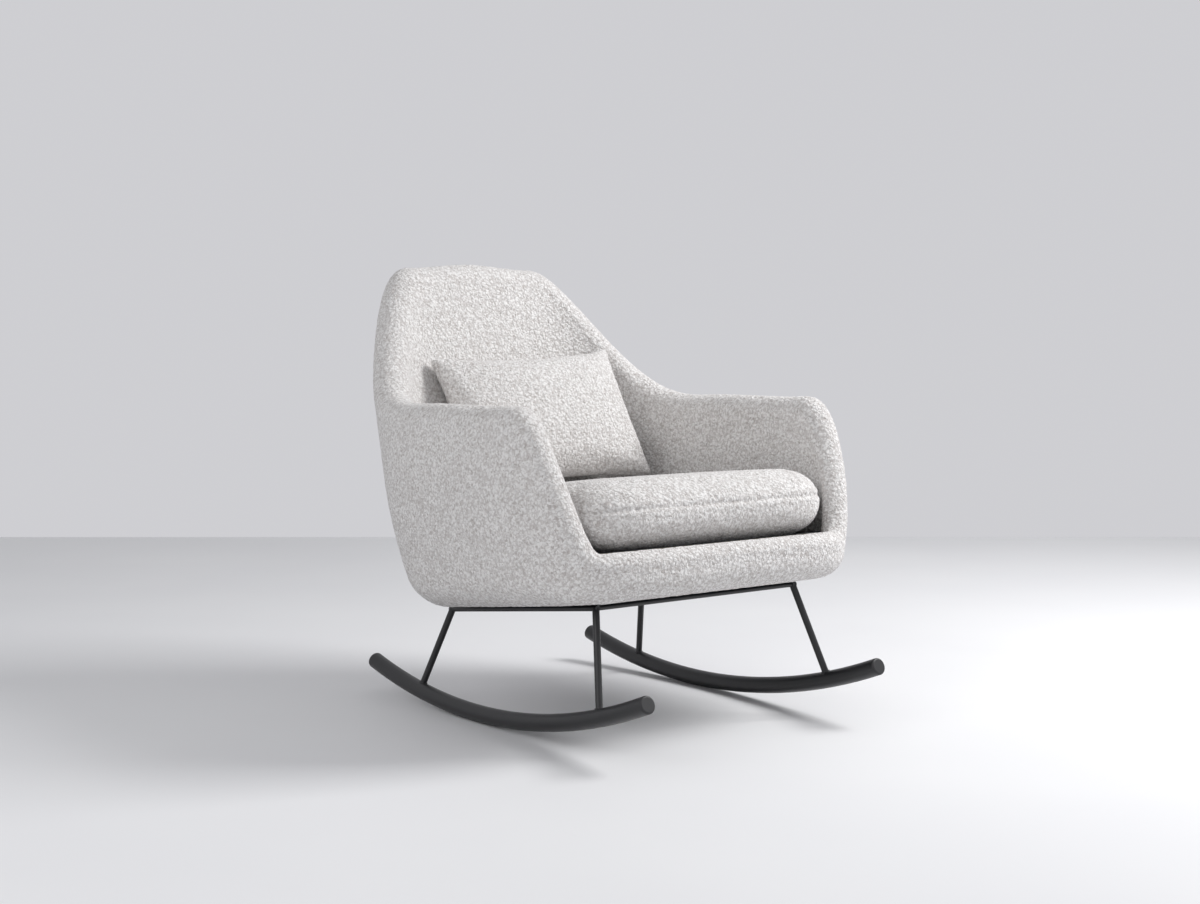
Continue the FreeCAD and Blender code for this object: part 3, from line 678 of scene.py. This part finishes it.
def spread(tree, value, low, high):
    """Value between low and high stretched to 0 to 1 with level ends."""
    node = tree.nodes.new("ShaderNodeMapRange")
    node.interpolation_type = "SMOOTHSTEP"
    tree.links.new(value, node.inputs["Value"])
    node.inputs["From Min"].default_value = low
    node.inputs["From Max"].default_value = high
    return node.outputs["Result"]


def noise(tree, vector, scale, detail=2.0, rough=0.5):
    """Noise texture of a scale per metre."""
    node = tree.nodes.new("ShaderNodeTexNoise")
    feed(tree, node.inputs["Scale"], scale)
    node.inputs["Detail"].default_value = detail
    node.inputs["Roughness"].default_value = rough
    tree.links.new(vector, node.inputs["Vector"])
    return node.outputs


def voronoi(tree, vector, scale):
    """Cell texture of a scale per metre, by the distance to the nearest point."""
    node = tree.nodes.new("ShaderNodeTexVoronoi")
    node.inputs["Scale"].default_value = scale
    tree.links.new(vector, node.inputs["Vector"])
    return node.outputs


def vector_node(tree, operation, first, second):
    """Vector math node whose inputs are sockets or triples."""
    node = tree.nodes.new("ShaderNodeVectorMath")
    node.operation = operation
    for socket, value in zip(node.inputs, (first, second)):
        feed(tree, socket, value)
    return node.outputs[0]


def boucle_group():
    """Looped yarn: cells of two sizes on bent coordinates give rounded loops with a coil inside each, and a
    random number per cell picks pale, grey and dark loops. The hollows between the loops get painted shade."""
    outputs = [("Colour", colour_kind), ("Height", number_kind), ("Roughness", number_kind)]
    group, _, out = node_group("boucle_loops", [], outputs)
    place = object_place(group)
    bend = vector_node(group, "SUBTRACT", noise(group, place, 150.0, 1.0)["Color"], (0.5, 0.5, 0.5))
    bent = vector_node(group, "ADD", place, vector_node(group, "MULTIPLY", bend, (0.0060, 0.0060, 0.0060)))
    large, small = voronoi(group, bent, 165.0), voronoi(group, bent, 285.0)
    loop = math_node(group, "SUBTRACT", 1.0, spread(group, large["Distance"], 0.05, 0.75))
    curl = math_node(group, "SUBTRACT", 1.0, spread(group, small["Distance"], 0.05, 0.70))
    coil = math_node(group, "SINE", math_node(group, "MULTIPLY", large["Distance"], 22.0))
    fibre = noise(group, place, 1400.0, 2.0)["Fac"]
    height = math_node(group, "MULTIPLY_ADD", curl, 0.45, math_node(group, "MULTIPLY", loop, 0.75))
    height = math_node(group, "MULTIPLY_ADD", coil, 0.05, height)
    height = math_node(group, "MULTIPLY_ADD", fibre, 0.16, height)
    pick = group.nodes.new("ShaderNodeSeparateColor")
    group.links.new(small["Color"], pick.inputs[0])
    grey = spread(group, pick.outputs[0], 0.55, 0.90)
    dark = spread(group, pick.outputs[1], 0.88, 0.95)
    yarn = mix_colour(group, grey, (0.855, 0.840, 0.830), (0.725, 0.700, 0.685))
    yarn = mix_colour(group, math_node(group, "MULTIPLY", dark, 0.55), yarn, (0.38, 0.335, 0.315))
    # painted shade: the low parts of the height, the hollows between the loops, are darkened towards a dark
    # brown-grey
    painted_pit_shade = math_node(group, "SUBTRACT", 1.0, spread(group, height, 0.12, 0.58))
    yarn = mix_colour(group, math_node(group, "MULTIPLY", painted_pit_shade, 0.50), yarn, (0.36, 0.325, 0.310))
    patch = spread(group, noise(group, place, 7.0, 2.0)["Fac"], 0.35, 0.68)
    yarn = mix_colour(group, math_node(group, "MULTIPLY", patch, 0.06), yarn, (0.60, 0.58, 0.565))
    feed(group, out["Colour"], yarn)
    feed(group, out["Height"], height)
    feed(group, out["Roughness"], math_node(group, "MULTIPLY_ADD", fibre, 0.12, 0.86))
    return group


def speckle_group():
    """Fine grain and a broad patchiness, half and half, pick between two colours. The broad part also lifts
    the roughness, and the grain is the height."""
    inputs = [("First", colour_kind), ("Second", colour_kind),
              ("Grain", number_kind), ("Smoothest", number_kind)]
    outputs = [("Colour", colour_kind), ("Height", number_kind), ("Roughness", number_kind)]
    group, given, out = node_group("speckle", inputs, outputs)
    place = object_place(group)
    grain = noise(group, place, given["Grain"], 3.0)["Fac"]
    broad = spread(group, noise(group, place, 14.0, 3.0)["Fac"], 0.35, 0.7)
    share = math_node(group, "MULTIPLY_ADD", grain, 0.5, math_node(group, "MULTIPLY", broad, 0.5))
    feed(group, out["Colour"], mix_colour(group, share, given["First"], given["Second"]))
    feed(group, out["Height"], grain)
    feed(group, out["Roughness"], math_node(group, "MULTIPLY_ADD", broad, 0.10, given["Smoothest"]))
    return group


def weave_group():
    """Plain weave in the seat's plane, turned about Z if asked: two crossed waves of threads, one over the
    other, with fuzz. Their height picks between two colours."""
    inputs = [("First", colour_kind), ("Second", colour_kind), ("Pitch", number_kind), ("Turn", number_kind)]
    group, given, out = node_group("weave", inputs, [("Colour", colour_kind), ("Height", number_kind)])
    place = object_place(group)
    turn = group.nodes.new("ShaderNodeCombineXYZ")
    feed(group, turn.inputs["X"], seat_tilt)
    feed(group, turn.inputs["Z"], given["Turn"])
    mapping = group.nodes.new("ShaderNodeMapping")
    feed(group, mapping.inputs["Vector"], place)
    feed(group, mapping.inputs["Rotation"], turn.outputs[0])
    part = group.nodes.new("ShaderNodeSeparateXYZ")
    feed(group, part.inputs[0], mapping.outputs[0])
    rate = math_node(group, "DIVIDE", 2 * math.pi, given["Pitch"])
    warp = math_node(group, "SINE", math_node(group, "MULTIPLY", part.outputs["X"], rate))
    weft = math_node(group, "SINE", math_node(group, "MULTIPLY", part.outputs["Y"], rate))
    cross = math_node(group, "MULTIPLY", warp, weft)
    fuzz = noise(group, place, 900.0, 2.0)["Fac"]
    height = math_node(group, "MULTIPLY_ADD", cross, 0.3, fuzz)
    share = spread(group, height, 0.2, 0.9)
    feed(group, out["Colour"], mix_colour(group, share, given["First"], given["Second"]))
    feed(group, out["Height"], height)
    return group


def ply_group():
    """Raw plywood: long grain streaks along Y with pores, which pick between two colours."""
    inputs = [("First", colour_kind), ("Second", colour_kind)]
    group, given, out = node_group("ply_grain", inputs, [("Colour", colour_kind), ("Height", number_kind)])
    mapping = group.nodes.new("ShaderNodeMapping")
    mapping.inputs["Scale"].default_value = (60.0, 4.0, 60.0)
    feed(group, mapping.inputs["Vector"], object_place(group))
    streak = noise(group, mapping.outputs[0], 1.0, 5.0, 0.6)["Fac"]
    pores = noise(group, mapping.outputs[0], 9.0, 2.0)["Fac"]
    grain = math_node(group, "MULTIPLY_ADD", pores, 0.3, streak)
    share = spread(group, grain, 0.4, 0.95)
    feed(group, out["Colour"], mix_colour(group, share, given["First"], given["Second"]))
    feed(group, out["Height"], grain)
    return group


def new_material(name, roughness, metallic=0.0):
    """Material with a Principled shader, and its tree and shader."""
    material = bpy.data.materials.new(name)
    material.use_nodes = True
    tree = material.node_tree
    shader = tree.nodes["Principled BSDF"]
    shader.inputs["Roughness"].default_value = roughness
    shader.inputs["Metallic"].default_value = metallic
    return material, tree, shader


def grouped(name, group, roughness, bump, metallic=0.0, strength=1.0, **values):
    """Material whose colour, height and, where the group gives it, roughness come from a group with the
    material's own values. The bump is a height in metres."""
    material, tree, shader = new_material(name, roughness, metallic)
    node = tree.nodes.new("ShaderNodeGroup")
    node.node_tree = group
    for label, value in values.items():
        feed(tree, node.inputs[label], value)
    feed(tree, shader.inputs["Base Color"], node.outputs["Colour"])
    if "Roughness" in node.outputs:
        feed(tree, shader.inputs["Roughness"], node.outputs["Roughness"])
    relief = tree.nodes.new("ShaderNodeBump")
    relief.inputs["Distance"].default_value = bump
    relief.inputs["Strength"].default_value = strength
    feed(tree, relief.inputs["Height"], node.outputs["Height"])
    feed(tree, shader.inputs["Normal"], relief.outputs["Normal"])
    return material


def boucle_material():
    """Pale looped wool with grey and dark flecks and a soft sheen."""
    material = grouped("boucle", boucle_group(), 0.9, 0.0022, strength=0.9)
    shader = material.node_tree.nodes["Principled BSDF"]
    shader.inputs["Sheen Weight"].default_value = 0.25
    shader.inputs["Sheen Roughness"].default_value = 0.6
    shader.inputs["Specular IOR Level"].default_value = 0.2
    return material


speckle, weave, ply_grain = speckle_group(), weave_group(), ply_group()


def speckled(name, first, second, grain, roughness, bump, metallic=0.0):
    """Powder coat, plastic, plated steel, foam or filling: the speckle in two colours."""
    return grouped(name, speckle, roughness, bump, metallic,
                   First=first, Second=second, Grain=grain, Smoothest=roughness - 0.05)


def woven(name, first, second, pitch, roughness, turn=0.0):
    """Cloth, webbing or tape: the weave in two colours."""
    return grouped(name, weave, roughness, 0.0004, First=first, Second=second, Pitch=pitch, Turn=turn)


def plied(name):
    """Plywood: the ply grain in pale and dark wood."""
    return grouped(name, ply_grain, 0.7, 0.0004, First=(0.68, 0.52, 0.33), Second=(0.42, 0.29, 0.16))


finishes = {
    "boucle": boucle_material(),
    "foam": speckled("foam", (0.80, 0.74, 0.56), (0.70, 0.63, 0.45), 700.0, 0.9, 0.0008),
    "filling": speckled("filling", (0.86, 0.86, 0.84), (0.74, 0.74, 0.72), 400.0, 0.95, 0.0010),
    "deck_cloth": woven("deck_cloth", (0.012, 0.012, 0.013), (0.04, 0.04, 0.042), 0.0016, 0.9),
    "dust_cloth": woven("dust_cloth", (0.010, 0.010, 0.011), (0.035, 0.035, 0.037), 0.0024, 0.9, 0.6),
    "webbing": woven("webbing", (0.05, 0.045, 0.04), (0.17, 0.155, 0.14), 0.0022, 0.85),
    "moulded_ply": plied("moulded_ply"),
    "plywood": plied("plywood"),
    "zinc_steel": speckled("zinc_steel", (0.66, 0.66, 0.64), (0.50, 0.51, 0.52), 260.0, 0.38, 0.00005, 1.0),
    "zip_tape": woven("zip_tape", (0.50, 0.48, 0.46), (0.68, 0.66, 0.63), 0.0012, 0.85),
    "black_steel": speckled("black_steel", (0.009, 0.009, 0.010), (0.020, 0.020, 0.022), 1300.0, 0.42,
                            0.00012),
    "black_plastic": speckled("black_plastic", (0.012, 0.012, 0.013), (0.024, 0.024, 0.026), 900.0, 0.5,
                              0.00010),
}
slot_of = {entry["node"]: entry["material_slot"] for entry in frame["record"]["subparts"]}
for name, node in frame["nodes"].items():
    node.data.materials.clear()
    node.data.materials.append(finishes[slot_of[name]])


def dress(piece, body, slot, *nodes):
    """Puts a piece on its body with its finish, in place of the named nodes."""
    piece.data.materials.clear()
    piece.data.materials.append(finishes[slot])
    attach(piece, body)
    if nodes:
        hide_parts(*nodes)
    return piece


shell = dress(make_shell("shell_upholstery"), "chair", "boucle", "shell_cover", "shell_foam")
cushion = dress(make_cushion("seat_cushion_padding"), "seat_cushion", "boucle", "seat_cushion_cover",
                "seat_cushion_core")
pillow = dress(make_pillow("lumbar_pillow_padding"), "lumbar_pillow", "boucle", "lumbar_pillow_cover",
               "lumbar_pillow_fill")
dust, size, area = make_sheet("dust_sheet", lambda inner, edge: edge - board_margin, -cover_thickness,
                              dust_face)
dress(dust, "chair", "dust_cloth", "dust_cover")
deck, size, area = make_sheet("deck_sheet", lambda inner, edge: inner - layer_clearance, deck_level,
                              deck_face)
dress(deck, "chair", "deck_cloth", "deck_cloth")
dress(make_zip("cushion_zip_chain"), "seat_cushion", "zip_tape", "seat_cushion_zip")
dress(make_beads("weld_beads"), "chair", "black_steel")


# Floor, lights and camera
camera_azimuth = math.radians(-38.112)
camera_pitch = math.radians(4.005)
camera_place = (-2.0253, -2.6111, 0.6929)
camera_lens = 54.41
camera_sensor = 36.0
floor_half = 2.6
lamp_aim = (0.0, -0.05, 0.40)
right = np.array([math.cos(camera_azimuth), math.sin(camera_azimuth), 0.0])
ahead = np.array([-math.sin(camera_azimuth), math.cos(camera_azimuth), 0.0])


def pale_stage():
    """Pale floor: a rectangle turned to the camera."""
    corners = np.array([[-2, -1], [2, -1], [2, 1], [-2, 1]]) * floor_half
    points = corners[:, :1] * right + corners[:, 1:] * ahead
    floor = new_mesh("floor", points, np.array([[0, 1, 2, 3]]))
    material, tree, shader = new_material("pale_floor", 0.55)
    shade = spread(tree, noise(tree, object_place(tree), 1.2, 3.0)["Fac"], 0.3, 0.75)
    paint = mix_colour(tree, shade, (0.80, 0.80, 0.815), (0.83, 0.83, 0.84))
    feed(tree, shader.inputs["Base Color"], paint)
    floor.data.materials.append(material)


def soft_world(strength, seen):
    """Even light all round, with a plain pale grey seen behind the object."""
    world = bpy.data.worlds.new("soft_world")
    scene.world = world
    world.use_nodes = True
    tree = world.node_tree
    tree.nodes.clear()
    light, backdrop = tree.nodes.new("ShaderNodeBackground"), tree.nodes.new("ShaderNodeBackground")
    light.inputs["Color"].default_value = (0.96, 0.97, 1.0, 1.0)
    light.inputs["Strength"].default_value = strength
    backdrop.inputs["Color"].default_value = seen
    path = tree.nodes.new("ShaderNodeLightPath")
    plain = math_node(tree, "MAXIMUM", path.outputs["Is Camera Ray"], path.outputs["Is Glossy Ray"])
    plain = math_node(tree, "MAXIMUM", plain, path.outputs["Is Transmission Ray"])
    mix = tree.nodes.new("ShaderNodeMixShader")
    tree.links.new(plain, mix.inputs[0])
    tree.links.new(light.outputs[0], mix.inputs[1])
    tree.links.new(backdrop.outputs[0], mix.inputs[2])
    out = tree.nodes.new("ShaderNodeOutputWorld")
    tree.links.new(mix.outputs[0], out.inputs[0])


def soft_box(name, place, aim, size, power):
    """Square area lamp at a place, turned to a point."""
    lamp = bpy.data.lights.new(name, "AREA")
    lamp.size = size
    lamp.energy = power
    holder = bpy.data.objects.new(name, lamp)
    scene.collection.objects.link(holder)
    holder.location = place
    direction = np.array(aim) - np.array(place)
    flat = math.hypot(direction[0], direction[1])
    holder.rotation_euler = (math.atan2(flat, -direction[2]), 0, math.atan2(-direction[0], direction[1]))


pale_stage()
soft_world(strength=0.45, seen=(0.62, 0.62, 0.645, 1.0))
key_place = tuple(right * 2.3 + ahead * 0.2 + np.array([0, 0, 2.3]))
fill_place = tuple(-right * 2.0 - ahead * 2.2 + np.array([0, 0, 1.9]))
soft_box("key", key_place, lamp_aim, size=1.3, power=82.0)
soft_box("fill", fill_place, lamp_aim, size=2.2, power=26.0)

camera_data = bpy.data.cameras.new("camera")
camera_data.lens = camera_lens
camera_data.sensor_width = camera_sensor
camera = bpy.data.objects.new("camera", camera_data)
scene.collection.objects.link(camera)
camera.location = camera_place
camera.rotation_euler = (math.pi / 2 - camera_pitch, 0, camera_azimuth)
scene.camera = camera
scene.view_settings.view_transform = "Standard"
